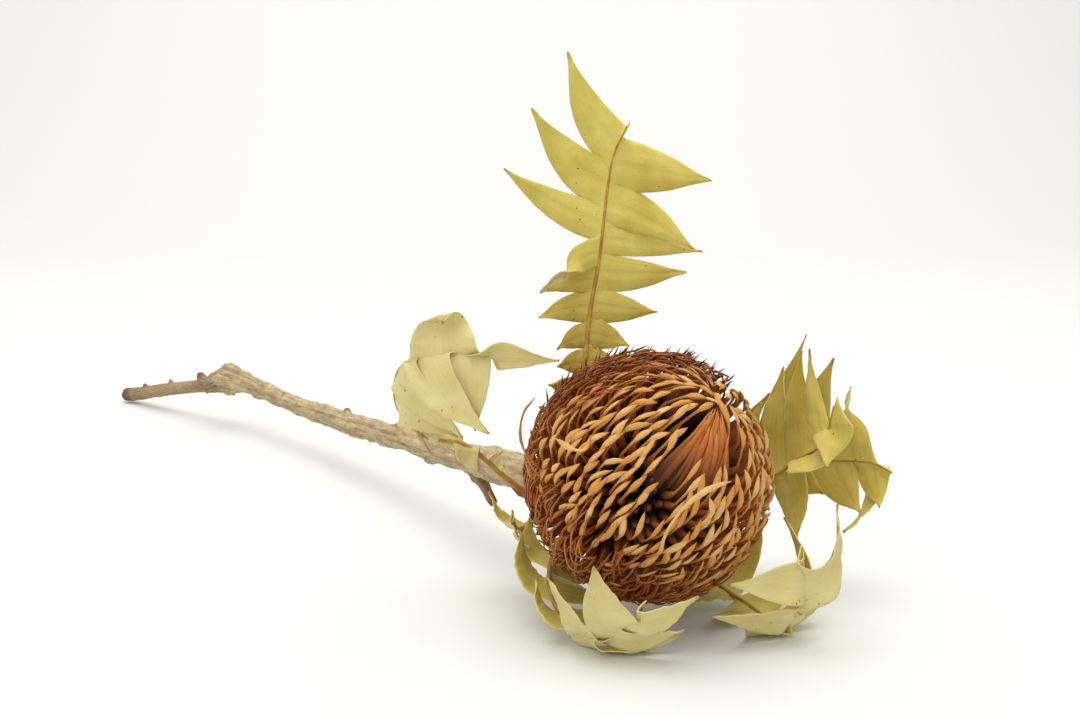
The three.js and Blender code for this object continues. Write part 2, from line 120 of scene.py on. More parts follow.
# The leaves. midrib: points from the base to the tip. facing: what the upper side looks
# at, at the base and at the tip. sag: how far the middle of a lobe hangs back. Each lobe:
# share of the midrib, width, its tip, and then, where it has them, its own sag, the
# degrees that it twists by along its length, and the degrees that its end curls by.
LEAVES = {
    "top_leaf": {
        "sag": 0.08,
        "midrib": (
            (-27, 42, 44), (-22, 44, 56), (-19, 45, 75), (-17, 49, 93), (-14, 52, 110),
            (-10, 53, 142), (-5, 50, 155),
        ),
        "facing": ((-10, -400, 60), (0, -400, 120)),
        "left": (
            (0.12, 9, -34, 38, 62), (0.21, 9, -31, 41, 69), (0.29, 9, -28, 42, 75),
            (0.37, 9, -28, 43, 81), (0.455, 11, -34.5, 45, 91.5), (0.54, 10, -33.5, 46, 100),
            (0.62, 10, -34, 44, 100, -0.25, 165), (0.705, 13, -46, 48, 141),
            (0.815, 16, -37, 50, 161), (0.93, 15, -25, 50, 179),
        ),
        "right": (
            (0.12, 10, -11, 42, 60), (0.21, 10, -7, 43, 67), (0.3, 10, -6, 43, 74),
            (0.38, 11, -4, 44, 82), (0.465, 12, 5.5, 47, 93), (0.56, 13, 15.5, 49, 106.5),
            (0.66, 11, 21, 52, 113), (0.765, 15, 18, 48, 114), (0.88, 18, 23, 47, 137),
        ),
    },
    "left_leaf": {
        "sag": 0.1,
        "midrib": (
            (-38, 30, 34), (-46, 27, 41), (-58, 23, 52), (-71, 19, 56), (-79, 16, 65),
            (-80, 13, 75), (-76, 8, 82), (-67, 3, 85), (-56, 3, 85.5), (-47, 5, 85),
        ),
        "facing": ((-50, 300, 40), (-55, 300, 84)),
        "left": (
            (0.26, 9, -54, 22, 44, 0.1, 40), (0.42, 12, -60, 18, 66), (0.55, 15, -60, 8, 58),
            (0.68, 16, -58, 4, 59), (0.79, 17, -49, -5, 62.5), (0.91, 14, -54, -1, 62),
        ),
        "right": (
            (0.15, 7, -47, 32, 48), (0.32, 9, -64, 32, 60), (0.48, 12, -68, 30, 66),
            (0.62, 13, -72, 29, 74), (0.73, 14, -66, 22, 80), (0.84, 21, -63, 7, 104, 0, 20, -150),
            (0.96, 11, -28, 0, 84, 0.05, 25),
        ),
    },
    "lower_left_leaf": {
        "sag": 0.28,
        "midrib": (
            (-24, 34, 20), (-30, 14, 17), (-31, -4, 12), (-27, -17, 7.5), (-21, -25, 5),
            (-15, -29.5, 5), (-9.5, -36, 10.5), (-6, -41, 16), (-4, -43.5, 20.5),
        ),
        "facing": ((0, 0, 47), (0, 0, 47)),
        "left": (
            (0.2, 14, -15, 20, 8, 0.1), (0.36, 14, -8, 3, 7, 0.1), (0.52, 14, -4, -12, 5, 0.1),
            (0.69, 14, 8, -29, 5, 0.4), (0.81, 12, 7.8, -38, 12, 0.15),
            (0.93, 12, 11, -44, 23.5, 0.15),
        ),
        "right": (
            (0.2, 14, -37, 30, 27), (0.38, 15, -40, 10, 27), (0.55, 14, -36, -11, 17.5, 0.3),
            (0.7, 14, -31, -29, 25, 0.2), (0.86, 17, -18.5, -44, 32.5, 0.12),
        ),
    },
    "lower_right_leaf": {
        "sag": 0.25,
        "midrib": (
            (-4, 33, 17), (10, 31, 11), (24, 21, 6), (35, 4, 2.5), (40, -10, 1.4),
            (43.5, -17, 8), (45.7, -20.5, 17), (45, -20, 27),
        ),
        "facing": ((0, 0, 47), (0, 0, 47)),
        "left": (
            (0.18, 13, 18, 42, 20), (0.35, 15, 40, 27, 33), (0.5, 15, 52, 12, 18, 0.2),
            (0.64, 13, 56, -2, 17, 0.2, 50), (0.77, 10, 44, -7, 37, 0.45, 60),
            (0.92, 18, 54, -19, 43.5, 0.28),
        ),
        "right": (
            (0.2, 12, 6, 17, 6, 0), (0.36, 14, 13, 2, 6, 0), (0.52, 14, 20, -12, 6, 0),
            (0.67, 15, 27.5, -22, 6.5, 0.28), (0.8, 13, 16.5, -27, 12.5, 0.15),
            (0.93, 14, 22, -29, 21.5, 0.12),
        ),
    },
    "right_leaf": {
        "sag": 0.1,
        "midrib": (
            (-10, 37, 33), (6, 43, 34), (26, 42, 36), (44, 36, 39), (51, 29, 46),
            (58, 22, 53), (61, 20, 66),
        ),
        "facing": ((20, -200, 140), (30, -200, 100)),
        "left": (
            (0.15, 10, 8, 43, 48), (0.3, 11, 24, 42, 57), (0.47, 15, 40, 41, 63, 0.2, -30),
            (0.61, 15, 46, 36, 76), (0.74, 13, 50.5, 29, 82), (0.86, 8, 54, 26, 84, 0.2, 40),
        ),
        "right": (
            (0.18, 9, 16, 42, 22), (0.34, 10, 31, 38, 24), (0.5, 14, 43, 33, 28, 0.25),
            (0.64, 15, 51, 24, 20, 0.1), (0.8, 17, 45, 13, 45, 0.3), (0.93, 15, 57, 10, 48, 0.3),
        ),
    },
    "far_right_leaf": {
        "sag": 0.12,
        "midrib": (
            (-8, 41, 27), (10, 50, 29), (34, 49, 35), (54, 43, 41), (68, 38, 43.5),
            (77, 33, 44), (82, 29, 42),
        ),
        "facing": ((40, -200, 100), (60, -200, 100)),
        "left": (
            (0.25, 11, 22, 48, 56), (0.42, 12, 44, 44, 66), (0.57, 11, 55, 39, 86, 0.1, 40),
            (0.7, 16, 64, 38, 78.5, 0.1), (0.86, 15, 69, 33, 70, -0.2, 120),
        ),
        "right": (
            (0.28, 10, 25, 46, 16), (0.46, 11, 44, 42, 22), (0.64, 13, 60, 27, 35, 0.3),
            (0.79, 16, 71, 22, 30, 0.3), (0.93, 12, 77, 21, 32, 0.4),
            (0.97, 6, 65, 18, 23.5, 0.5, 50),
        ),
    },
    "back_leaf": {
        "sag": 0.15,
        "midrib": ((-35, 38, 25), (-39, 30, 23), (-42, 22, 25), (-43, 17, 32)),
        "facing": ((-20, 10, 60), (0, 0, 47)),
        "left": ((0.35, 8, -34, 22, 15), (0.75, 9, -37, 14, 20)),
        "right": ((0.35, 8, -49, 31, 30), (0.75, 9, -50, 18, 38)),
    },
}

# ---- Sizes and colours that a user would change ----


def colour(label, note, value):
    return FloatVectorProperty(
        name=label, description=note, default=value, size=3, min=0.0, max=1.0,
        subtype="COLOR",
    )


class BanksiaHeadSettings(bpy.types.PropertyGroup):
    """The flowers and the woody axis that bears them."""

    radius: FloatProperty(
        name="Head radius", description="From the centre to the limbs of the flowers",
        default=0.0376, unit="LENGTH",
    )
    flowers: IntProperty(
        name="Flowers", description="Places for flowers over the whole head",
        default=780, min=50,
    )
    limb_length: FloatProperty(
        name="Limb length", description="Length of a flower's spear-shaped limb",
        default=0.0088, unit="LENGTH",
    )
    limb_width: FloatProperty(
        name="Limb width", description="Width of a flower's limb", default=0.0019,
        unit="LENGTH",
    )
    style_width: FloatProperty(
        name="Style width", description="Thickness of a wiry style", default=0.00075,
        unit="LENGTH",
    )
    seed: IntProperty(name="Seed", description="Chooses the irregularities", default=11)
    limb: colour("Limb", "Dry tan of the limbs", (0.64, 0.325, 0.078))
    limb_pale: colour("Pale limb", "The bleached limbs and tips", (0.83, 0.58, 0.24))
    stalk: colour("Stalk", "Orange brown below the limbs", (0.47, 0.16, 0.026))
    style: colour("Style", "Reddish brown of the styles", (0.52, 0.145, 0.026))
    style_dark: colour("Dark style", "The darkest styles and tips", (0.125, 0.033, 0.010))
    # The axis colour also serves as the painted shade on the feet of the flowers.
    core: colour("Axis", "Dark felt of the woody axis", (0.05, 0.02, 0.01))


class BanksiaLeafSettings(bpy.types.PropertyGroup):
    """The leaves round the base of the head."""

    thickness: FloatProperty(
        name="Blade thickness", description="Thickness of a dry blade", default=0.0004,
        unit="LENGTH",
    )
    midrib: FloatProperty(
        name="Midrib width", description="Width of the midrib at its base",
        default=0.0019, unit="LENGTH",
    )
    upper: colour("Upper side", "Olive gold of the upper side", (0.54, 0.435, 0.065))
    upper_pale: colour("Faded upper side", "Where the upper side bleached", (0.71, 0.62, 0.165))
    # The aged colour: random darker lobes on most leaves, and painted shade on the top leaf's
    # lower lobes.
    upper_aged_and_shaded: colour("Aged upper side", "The darkest lobes", (0.36, 0.24, 0.02))
    lower: colour("Underside", "Felted cream green of the underside", (0.62, 0.53, 0.205))
    lower_pale: colour("Pale underside", "The palest felt", (0.78, 0.72, 0.38))
    rib: colour("Midrib", "Orange brown of the midrib", (0.42, 0.17, 0.035))
    spot: colour("Spots", "Brown specks and torn edges", (0.24, 0.10, 0.025))


class BanksiaStemSettings(bpy.types.PropertyGroup):
    """The cut woody stem."""

    furrow: FloatProperty(
        name="Furrow depth", description="Depth of the furrows of the bark",
        default=0.0007, unit="LENGTH",
    )
    bark: colour("Bark", "Olive tan ridges of the bark", (0.44, 0.33, 0.16))
    bark_pale: colour("Pale bark", "Bleached and felted bark", (0.64, 0.53, 0.32))
    bark_dark: colour("Dark bark", "The furrows and the thin end", (0.15, 0.085, 0.04))
    bud: colour("Buds", "Reddish brown of buds and scars", (0.21, 0.055, 0.02))


class BanksiaStageSettings(bpy.types.PropertyGroup):
    """Floor, light and camera."""

    floor: colour("Floor", "Colour of the floor", (0.74, 0.74, 0.722))
    ambient: FloatProperty(
        name="Ambient", description="Strength of the even light from all round",
        default=0.80,
    )
    key: FloatProperty(
        name="Key light", description="Power of the large light overhead", default=12.5,
        unit="POWER",
    )
    backdrop: FloatProperty(
        name="Backdrop light", description="Power of the light over the backdrop",
        default=17.0, unit="POWER",
    )
    lens: FloatProperty(
        name="Lens", description="Focal length of the camera", default=50.0,
        unit="CAMERA",
    )


# ---- Curves ----


def smooth(low, high, value):
    """0 below low, 1 above high, and a smooth step between."""
    t = min(max((value - low) / (high - low), 0.0), 1.0)
    return t * t * (3 - 2 * t)


def spline(points, at):
    """The place at a parameter, counted in points, on a curve through the points."""
    i = min(int(at), len(points) - 2)
    t = at - i
    b, c = points[i], points[i + 1]
    a = points[i - 1] if i > 0 else b * 2 - c
    d = points[i + 2] if i + 2 < len(points) else c * 2 - b
    return 0.5 * (
        2 * b + (c - a) * t + (2 * a - 5 * b + 4 * c - d) * t * t
        + (3 * b - a - 3 * c + d) * t * t * t
    )


class Route:
    """A smooth curve through points, which is asked by share of its length."""

    def __init__(self, points, samples=240):
        points = [Vector(p) for p in points]
        last = len(points) - 1
        self.places = [spline(points, last * i / samples) for i in range(samples + 1)]
        self.params = [last * i / samples for i in range(samples + 1)]
        self.run = [0.0]
        for a, b in zip(self.places, self.places[1:]):
            self.run.append(self.run[-1] + (b - a).length)
        self.length = self.run[-1]

    def _find(self, part):
        goal = min(max(part, 0.0), 1.0) * self.length
        low, high = 0, len(self.run) - 2
        while low < high:
            middle = (low + high + 1) // 2
            if self.run[middle] <= goal:
                low = middle
            else:
                high = middle - 1
        gap = self.run[low + 1] - self.run[low]
        return low, (goal - self.run[low]) / gap if gap else 0.0

    def at(self, part):
        i, t = self._find(part)
        place = self.places[i].lerp(self.places[i + 1], t)
        beyond = min(part, 0.0) + max(part - 1.0, 0.0)
        return place + self.along(part) * beyond * self.length if beyond else place

    def param(self, part):
        i, t = self._find(part)
        return self.params[i] + (self.params[i + 1] - self.params[i]) * t

    def along(self, part):
        i, t = self._find(part)
        last = len(self.places) - 2
        near = self.places[i + 1] - self.places[i]
        j = min(i + 1, last) if t > 0.5 else max(i - 1, 0)
        other = self.places[j + 1] - self.places[j]
        return near.lerp(other, abs(t - 0.5)).normalized()


def carried_frames(places, first):
    """Along, side and up at each place, with up carried along from first untwisted."""
    frames = []
    up = first
    for i, place in enumerate(places):
        ahead = places[min(i + 1, len(places) - 1)] - places[max(i - 1, 0)]
        along = ahead.normalized()
        up = (up - along * up.dot(along)).normalized()
        frames.append((along, along.cross(up), up))
    return frames


# ---- Meshes ----


def straight_rod(sides, steps):
    """A closed rod of radius 1 along Z from 0 to steps, with a ring at each whole step."""
    bm = bmesh.new()
    bmesh.ops.create_cone(
        bm, cap_ends=True, cap_tris=False, segments=sides, radius1=1, radius2=1, depth=1
    )
    bmesh.ops.translate(bm, vec=(0, 0, 0.5), verts=bm.verts)
    upright = [e for e in bm.edges if abs(e.verts[0].co.z - e.verts[1].co.z) > 0.5]
    if steps > 1:
        bmesh.ops.subdivide_edges(bm, edges=upright, cuts=steps - 1, use_grid_fill=True)
    bmesh.ops.scale(bm, vec=(1, 1, steps), verts=bm.verts)
    return bm


def rod_mesh(sides, steps):
    """The straight rod as a mesh to be copied many times."""
    bm = straight_rod(sides, steps)
    bm.verts.layers.float_color.new("Tone")
    mesh = bpy.data.meshes.new("rod")
    bm.to_mesh(mesh)
    bm.free()
    return mesh


def put_rod(bm, sides, steps):
    """Adds a straight rod to a bmesh; returns its vertices and its faces."""
    rod = straight_rod(sides, steps)
    mesh = bpy.data.meshes.new("rod")
    rod.to_mesh(mesh)
    rod.free()
    first, first_face = len(bm.verts), len(bm.faces)
    bm.from_mesh(mesh)
    bpy.data.meshes.remove(mesh)
    bm.verts.ensure_lookup_table()
    bm.faces.ensure_lookup_table()
    return bm.verts[first:], bm.faces[first_face:]


def add_rod(bm, rod, rings, tone, material=0, run=(0.0, 1.0)):
    """Adds a copy of a straight rod bent through rings: centre, side and up per ring.

    tone holds its chance and how far it has opened, and run the part of a flower's
    length, from its foot to its tip, that its colours follow.
    """
    first = len(bm.verts)
    first_face = len(bm.faces)
    bm.from_mesh(rod)
    bm.verts.ensure_lookup_table()
    bm.faces.ensure_lookup_table()
    layer = bm.verts.layers.float_color["Tone"]
    last = len(rings) - 1
    for vert in bm.verts[first:]:
        ring = round(vert.co.z)
        centre, side, up = rings[ring]
        vert[layer] = (tone[0], tone[1], run[0] + (run[1] - run[0]) * ring / last, 1.0)
        vert.co = centre + side * vert.co.x + up * vert.co.y
    for face in bm.faces[first_face:]:
        face.smooth = True
        face.material_index = material


def finished(name, bm, materials, nodes, turn_out=True):
    """Turns a bmesh in head millimetres into a piece of the object in its place."""
    bmesh.ops.translate(bm, vec=HEAD_FOOT, verts=bm.verts)
    bmesh.ops.scale(bm, vec=(MM, MM, MM), verts=bm.verts)
    if turn_out:
        bmesh.ops.recalc_face_normals(bm, faces=bm.faces)
    mesh = bpy.data.meshes.new(name)
    bm.to_mesh(mesh)
    bm.free()
    piece = bpy.data.objects.new(name, mesh)
    bpy.context.collection.objects.link(piece)
    for material in materials:
        mesh.materials.append(material)
    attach(piece, "root")
    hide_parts(*nodes)


# ---- Shader node groups ----


def made_group(name, inputs, outputs):
    """An empty shader node group with named sockets, and its input and output nodes."""
    tree = bpy.data.node_groups.new(name, "ShaderNodeTree")
    for kind, label, value in inputs:
        socket = tree.interface.new_socket(label, in_out="INPUT", socket_type=kind)
        if value is not None:
            socket.default_value = value
    for kind, label in outputs:
        tree.interface.new_socket(label, in_out="OUTPUT", socket_type=kind)
    return tree, tree.nodes.new("NodeGroupInput"), tree.nodes.new("NodeGroupOutput")


def maths(tree, operation, a, b=None):
    """A Math node whose inputs are sockets or numbers; returns its output."""
    node = tree.nodes.new("ShaderNodeMath")
    node.operation = operation
    for socket, value in zip(node.inputs, (a, b)):
        if isinstance(value, bpy.types.NodeSocket):
            tree.links.new(value, socket)
        elif value is not None:
            socket.default_value = value
    return node.outputs[0]


def blended(tree, factor, a, b):
    """A colour Mix node whose inputs are sockets or values; returns its output."""
    node = tree.nodes.new("ShaderNodeMix")
    node.data_type = "RGBA"
    for socket, value in ((node.inputs[0], factor), (node.inputs[6], a), (node.inputs[7], b)):
        if isinstance(value, bpy.types.NodeSocket):
            tree.links.new(value, socket)
        elif isinstance(value, (int, float)):
            socket.default_value = value
        else:
            socket.default_value = (*value[:3], 1.0)
    return node.outputs[2]


def ranged(tree, value, low, high, new_low=0.0, new_high=1.0):
    """A clamped Map Range node; returns its output."""
    node = tree.nodes.new("ShaderNodeMapRange")
    tree.links.new(value, node.inputs["Value"])
    node.inputs["From Min"].default_value = low
    node.inputs["From Max"].default_value = high
    node.inputs["To Min"].default_value = new_low
    node.inputs["To Max"].default_value = new_high
    return node.outputs["Result"]


def noise_of(tree, vector, scale, detail=3.0, rough=0.55):
    """A Noise node on a vector socket; scale is a number or a socket."""
    node = tree.nodes.new("ShaderNodeTexNoise")
    tree.links.new(vector, node.inputs["Vector"])
    if isinstance(scale, bpy.types.NodeSocket):
        tree.links.new(scale, node.inputs["Scale"])
    else:
        node.inputs["Scale"].default_value = scale
    node.inputs["Detail"].default_value = detail
    node.inputs["Roughness"].default_value = rough
    return node.outputs["Fac"]


def mottle_group():
    """Blends two colours by a cloudy noise."""
    tree, given, result = made_group(
        "Dry mottle",
        (
            ("NodeSocketVector", "Vector", None),
            ("NodeSocketFloat", "Scale", 200.0),
            ("NodeSocketFloat", "Amount", 1.0),
            ("NodeSocketColor", "Colour", (0.5, 0.4, 0.2, 1)),
            ("NodeSocketColor", "Patch colour", (0.7, 0.6, 0.3, 1)),
        ),
        (("NodeSocketColor", "Colour"), ("NodeSocketFloat", "Mask")),
    )
    cloud = noise_of(tree, given.outputs["Vector"], given.outputs["Scale"], 5.0, 0.6)
    mask = maths(tree, "MULTIPLY", ranged(tree, cloud, 0.38, 0.66), given.outputs["Amount"])
    mixed = blended(tree, mask, given.outputs["Colour"], given.outputs["Patch colour"])
    tree.links.new(mixed, result.inputs["Colour"])
    tree.links.new(mask, result.inputs["Mask"])
    return tree


def specks_group():
    """Puts sparse small specks of one colour on another."""
    tree, given, result = made_group(
        "Age specks",
        (
            ("NodeSocketVector", "Vector", None),
            ("NodeSocketFloat", "Scale", 250.0),
            ("NodeSocketFloat", "Spread", 0.15),
            ("NodeSocketColor", "Colour", (0.5, 0.4, 0.2, 1)),
            ("NodeSocketColor", "Speck colour", (0.2, 0.1, 0.03, 1)),
        ),
        (("NodeSocketColor", "Colour"), ("NodeSocketFloat", "Mask")),
    )
    cells = tree.nodes.new("ShaderNodeTexVoronoi")
    tree.links.new(given.outputs["Vector"], cells.inputs["Vector"])
    tree.links.new(given.outputs["Scale"], cells.inputs["Scale"])
    near = maths(tree, "LESS_THAN", cells.outputs["Distance"], given.outputs["Spread"])
    patch = ranged(tree, noise_of(tree, given.outputs["Vector"], 60.0, 2.0), 0.55, 0.68)
    mask = maths(tree, "MULTIPLY", near, patch)
    mixed = blended(tree, mask, given.outputs["Colour"], given.outputs["Speck colour"])
    tree.links.new(mixed, result.inputs["Colour"])
    tree.links.new(mask, result.inputs["Mask"])
    return tree


def fibre_group():
    """Fine fibres: a height and a mask from a detailed noise over the given vector."""
    tree, given, result = made_group(
        "Fibres",
        (
            ("NodeSocketVector", "Vector", None),
            ("NodeSocketFloat", "Scale", 1.0),
        ),
        (("NodeSocketFloat", "Height"), ("NodeSocketFloat", "Mask")),
    )
    fine = noise_of(tree, given.outputs["Vector"], given.outputs["Scale"], 6.0, 0.65)
    tree.links.new(fine, result.inputs["Height"])
    tree.links.new(ranged(tree, fine, 0.42, 0.62), result.inputs["Mask"])
    return tree


def shared_group(name, build):
    return bpy.data.node_groups.get(name) or build()


class Finish:
    """A material under construction, with short ways to place and join its nodes."""

    def __init__(self, name, roughness, sheen=0.0):
        self.material = bpy.data.materials.new(name)
        self.material.use_nodes = True
        self.tree = self.material.node_tree
        self.shader = self.tree.nodes["Principled BSDF"]
        self.shader.inputs["Roughness"].default_value = roughness
        self.shader.inputs["Specular IOR Level"].default_value = 0.3
        self.shader.inputs["Sheen Weight"].default_value = sheen
        self.place = self.tree.nodes.new("ShaderNodeTexCoord").outputs["Object"]

    def link(self, a, b):
        self.tree.links.new(a, b)

    def attribute(self, name):
        node = self.tree.nodes.new("ShaderNodeAttribute")
        node.attribute_name = name
        return node

    def parts(self, socket):
        node = self.tree.nodes.new("ShaderNodeSeparateXYZ")
        self.link(socket, node.inputs[0])
        return node.outputs

    def group(self, name, build, **values):
        node = self.tree.nodes.new("ShaderNodeGroup")
        node.node_tree = shared_group(name, build)
        for label, value in values.items():
            socket = node.inputs[label.replace("_", " ")]
            if isinstance(value, bpy.types.NodeSocket):
                self.link(value, socket)
            elif isinstance(value, (int, float)):
                socket.default_value = value
            else:
                socket.default_value = (*value[:3], 1.0)
        return node.outputs

    def blend(self, factor, a, b):
        return blended(self.tree, factor, a, b)

    def times(self, a, b):
        return maths(self.tree, "MULTIPLY", a, b)

    def range(self, value, low, high, new_low=0.0, new_high=1.0):
        return ranged(self.tree, value, low, high, new_low, new_high)

    def fibres(self, scale):
        """Fibres of a fineness, over the piece's own place."""
        return self.group("Fibres", fibre_group, Vector=self.place, Scale=scale)

    def mottled(self, scale, amount, base, patch):
        """A colour with cloudy patches of another."""
        return self.group(
            "Dry mottle", mottle_group, Vector=self.place, Scale=scale, Amount=amount,
            Colour=base, Patch_colour=patch,
        )["Colour"]

    def bumped(self, height, strength, distance):
        node = self.tree.nodes.new("ShaderNodeBump")
        node.inputs["Strength"].default_value = strength
        node.inputs["Distance"].default_value = distance
        self.link(height, node.inputs["Height"])
        self.link(node.outputs["Normal"], self.shader.inputs["Normal"])

    def done(self, colour_socket):
        self.link(colour_socket, self.shader.inputs["Base Color"])
        return self.material


NERVES = 7  # nerves across a lobe


def flower_finish(settings):
    """Dry flowers: tan limbs on orange brown stalks, redder where they have opened; feet in
    painted shade.
    """
    f = Finish("flower_limbs", 0.62)
    tone = f.parts(f.attribute("Tone").outputs["Vector"])
    chance, opened, along = tone[0], tone[1], tone[2]
    bleached = f.range(chance, 0.35, 1.0, 0.0, 0.85)
    limb = f.blend(bleached, settings.limb, settings.limb_pale)
    stalk = f.blend(f.range(chance, 0.2, 0.8), settings.stalk, settings.style)
    up_limb = f.range(along, 0.38, 0.62)
    body = f.blend(up_limb, stalk, limb)
    tip = f.range(along, 0.86, 1.0, 0.0, 0.45)
    body = f.blend(tip, body, settings.stalk)
    red = f.times(opened, 0.85)
    body = f.blend(red, body, settings.style)
    mottled = f.mottled(420.0, 0.35, body, settings.stalk)
    fibres = f.fibres(2600.0)
    streaked = f.blend(f.times(fibres["Mask"], 0.3), mottled, settings.style)
    # Painted shade: the feet deep inside the head, and the inner ends of the fan's tubes, are
    # darkened nearly to the axis colour.
    foot = f.range(along, 0.12, 0.36, 0.93, 0.0)
    final = f.blend(foot, streaked, settings.core)
    f.bumped(fibres["Height"], 0.35, 0.0002)
    return f.done(final)


def style_finish(settings):
    """Wiry styles, reddish brown and darker to the tip."""
    f = Finish("flower_styles", 0.5)
    tone = f.parts(f.attribute("Tone").outputs["Vector"])
    chance, dark, along = tone[0], tone[1], tone[2]
    light = f.blend(chance, settings.style, settings.stalk)
    shade = f.times(f.range(along, 0.3, 1.0), dark)
    body = f.blend(shade, light, settings.style_dark)
    light_share = maths(f.tree, "SUBTRACT", 1.0, dark)
    bleached = f.times(f.range(chance, 0.6, 1.0, 0.0, 0.5), light_share)
    body = f.blend(bleached, body, settings.limb)
    fibres = f.fibres(1800.0)
    final = f.blend(f.times(fibres["Mask"], 0.3), body, settings.style_dark)
    return f.done(final)


def core_finish(settings):
    """The dark felted axis."""
    f = Finish("head_axis_felt", 0.95)
    mottled = f.mottled(500.0, 0.6, settings.core, settings.style_dark)
    fibres = f.fibres(1500.0)
    f.bumped(fibres["Height"], 0.6, 0.0005)
    return f.done(mottled)


def leaf_finish(name, base, pale, age_and_shade_colour, settings, felt):
    """A leaf's side, with nerves that run out along each lobe, specks and a dry edge."""
    f = Finish(name, 0.75 if felt else 0.5, 0.2 if felt else 0.05)
    blade = f.parts(f.attribute("Blade").outputs["Vector"])
    across, out, age_and_shade = blade[0], blade[1], blade[2]
    mottled = f.mottled(75.0, 0.85, base, pale)
    # Darkening towards the aged colour: random age on most leaves, and painted shade near the base
    # of the top leaf.
    body = f.blend(f.times(age_and_shade, 0.85), mottled, age_and_shade_colour)
    near_rib = f.range(out, 0.0, 0.35, 0.35, 0.0)
    body = f.blend(near_rib, body, pale)
    nerve_wave = maths(f.tree, "SINE", f.times(across, 2 * math.pi * NERVES))
    nerves = f.range(nerve_wave, 0.8, 1.0)
    body = f.blend(f.times(nerves, 0.22), body, pale)
    fibres = f.fibres(1100.0)
    body = f.blend(f.times(fibres["Mask"], 0.16), body, base)
    brown = f.mottled(46.0, 0.3, body, settings.rib)
    body = f.blend(f.range(out, 0.0, 1.0, 0.25, 0.75), body, brown)
    edge = maths(f.tree, "ABSOLUTE", maths(f.tree, "SUBTRACT", across, 0.5))
    rim = f.range(edge, 0.465, 0.5, 0.0, 0.55)
    body = f.blend(rim, body, settings.lower_pale)
    tip = f.range(out, 0.92, 1.0, 0.0, 0.6)
    body = f.blend(tip, body, settings.rib)
    specked = f.group(
        "Age specks", specks_group, Vector=f.place, Scale=420.0, Spread=0.13,
        Colour=body, Speck_colour=settings.spot,
    )
    height = maths(f.tree, "ADD", f.times(nerves, 0.5), fibres["Height"])
    f.bumped(height, 0.35, 0.0002)
    return f.done(specked["Colour"])


def rib_finish(settings):
    """The midribs: orange brown with darker lengths."""
    f = Finish("leaf_midrib", 0.6)
    mottled = f.mottled(160.0, 0.9, settings.rib, settings.upper)
    fibres = f.fibres(1400.0)
    final = f.blend(f.times(fibres["Mask"], 0.35), mottled, settings.spot)
    f.bumped(fibres["Height"], 0.4, 0.0002)
    return f.done(final)


def bark_finish(settings):
    """Furrowed bark: pale ridges, dark furrows, redder buds, browner at the cut end."""
    f = Finish("stem_bark", 0.88, 0.1)
    tone = f.parts(f.attribute("Tone").outputs["Vector"])
    grain = f.attribute("Grain").outputs["Vector"]
    furrow, red, brown = tone[0], tone[1], tone[2]
    mottled = f.mottled(90.0, 0.75, settings.bark, settings.bark_pale)
    streaks = f.group("Fibres", fibre_group, Vector=grain, Scale=1.6)
    fibres = f.fibres(1000.0)
    body = f.blend(f.times(streaks["Mask"], 0.55), mottled, settings.bark_dark)
    body = f.blend(f.times(furrow, 0.4), body, settings.bark_dark)
    body = f.blend(f.times(fibres["Mask"], 0.25), body, settings.bark_pale)
    body = f.blend(brown, body, f.blend(0.25, settings.bark_dark, settings.bud))
    body = f.blend(red, body, settings.bud)
    height = maths(f.tree, "ADD", streaks["Height"], f.times(fibres["Height"], 0.5))
    f.bumped(height, 0.7, 0.0006)
    return f.done(body)


# ---- The head ----


def head_place(radius, angle, turn):
    """A place of the head: distance from its centre, and degrees from the apex and round."""
    a, t = math.radians(angle), math.radians(turn)
    local = Vector((math.sin(a) * math.cos(t), math.sin(a) * math.sin(t), math.cos(a)))
    return HEAD_CENTRE + (HEAD_TURN @ local) * radius


def tuft_of(angle, turn):
    """The name of the frame's tuft whose foot on the axis holds this direction."""
    start = 0.0
    for tier, (end, tufts) in enumerate(TIERS):
        if angle < end or tier == len(TIERS) - 1:
            if tier == 0:
                return "flowers_apex"
            step = 360.0 / tufts
            offset = math.degrees((math.radians(start) * 0.37) % math.radians(step))
            return "flowers_%d_%d" % (tier, int(((turn - offset) % 360.0) / step) + 1)
        start = end


# Bare places among the flowers: two ends, each degrees from the apex and round, and the
# half width in millimetres at each end.
HOLLOWS = (
    ((70, -102), (52, -98), 2.4, 4.6),
    ((52, -98), (38, -104), 4.6, 3.8),
    ((38, -104), (20, -122), 3.4, 1.6),
    ((52, -58), (62, -16), 1.6, 1.2),
    ((104, -123), (112, -114), 3.4, 4.2),
)
FAN = (4.0, 37.0, -112.0, -46.0)  # degrees from the apex, from and to, and round
FAN_FLOWERS = 22
LAST_FLOWERS = 146  # degrees from the apex down to which flowers stand
GOLDEN_ANGLE = 137.50776


def distance_to_hollow(place):
    """How far a place is from the rim of the nearest bare place; below 0 inside it."""
    least = 1e9
    for a, b, wide_a, wide_b in HOLLOWS:
        p, q = head_place(37.6, *a), head_place(37.6, *b)
        t = min(max((place - p).dot(q - p) / (q - p).length_squared, 0.0), 1.0)
        gap = (place - p.lerp(q, t)).length - (wide_a + (wide_b - wide_a) * t)
        least = min(least, gap)
    return least


def in_fan(angle, turn):
    low, high, start, end = FAN
    return low < angle < high and start < turn < end


def openness(place, angle):
    """How far the flowers at a place have opened into wiry styles, from 0 to 1."""
    way = (place - HEAD_CENTRE).normalized()
    wander = 0.35 * noise.noise(way * 2.3)
    by_base = smooth(84, 112, angle + 30 * wander)
    by_back = smooth(0.2, 0.62, way.dot(Vector((-0.35, 0.68, 0.65)).normalized()) + 0.3 * wander)
    return max(by_base, by_back)


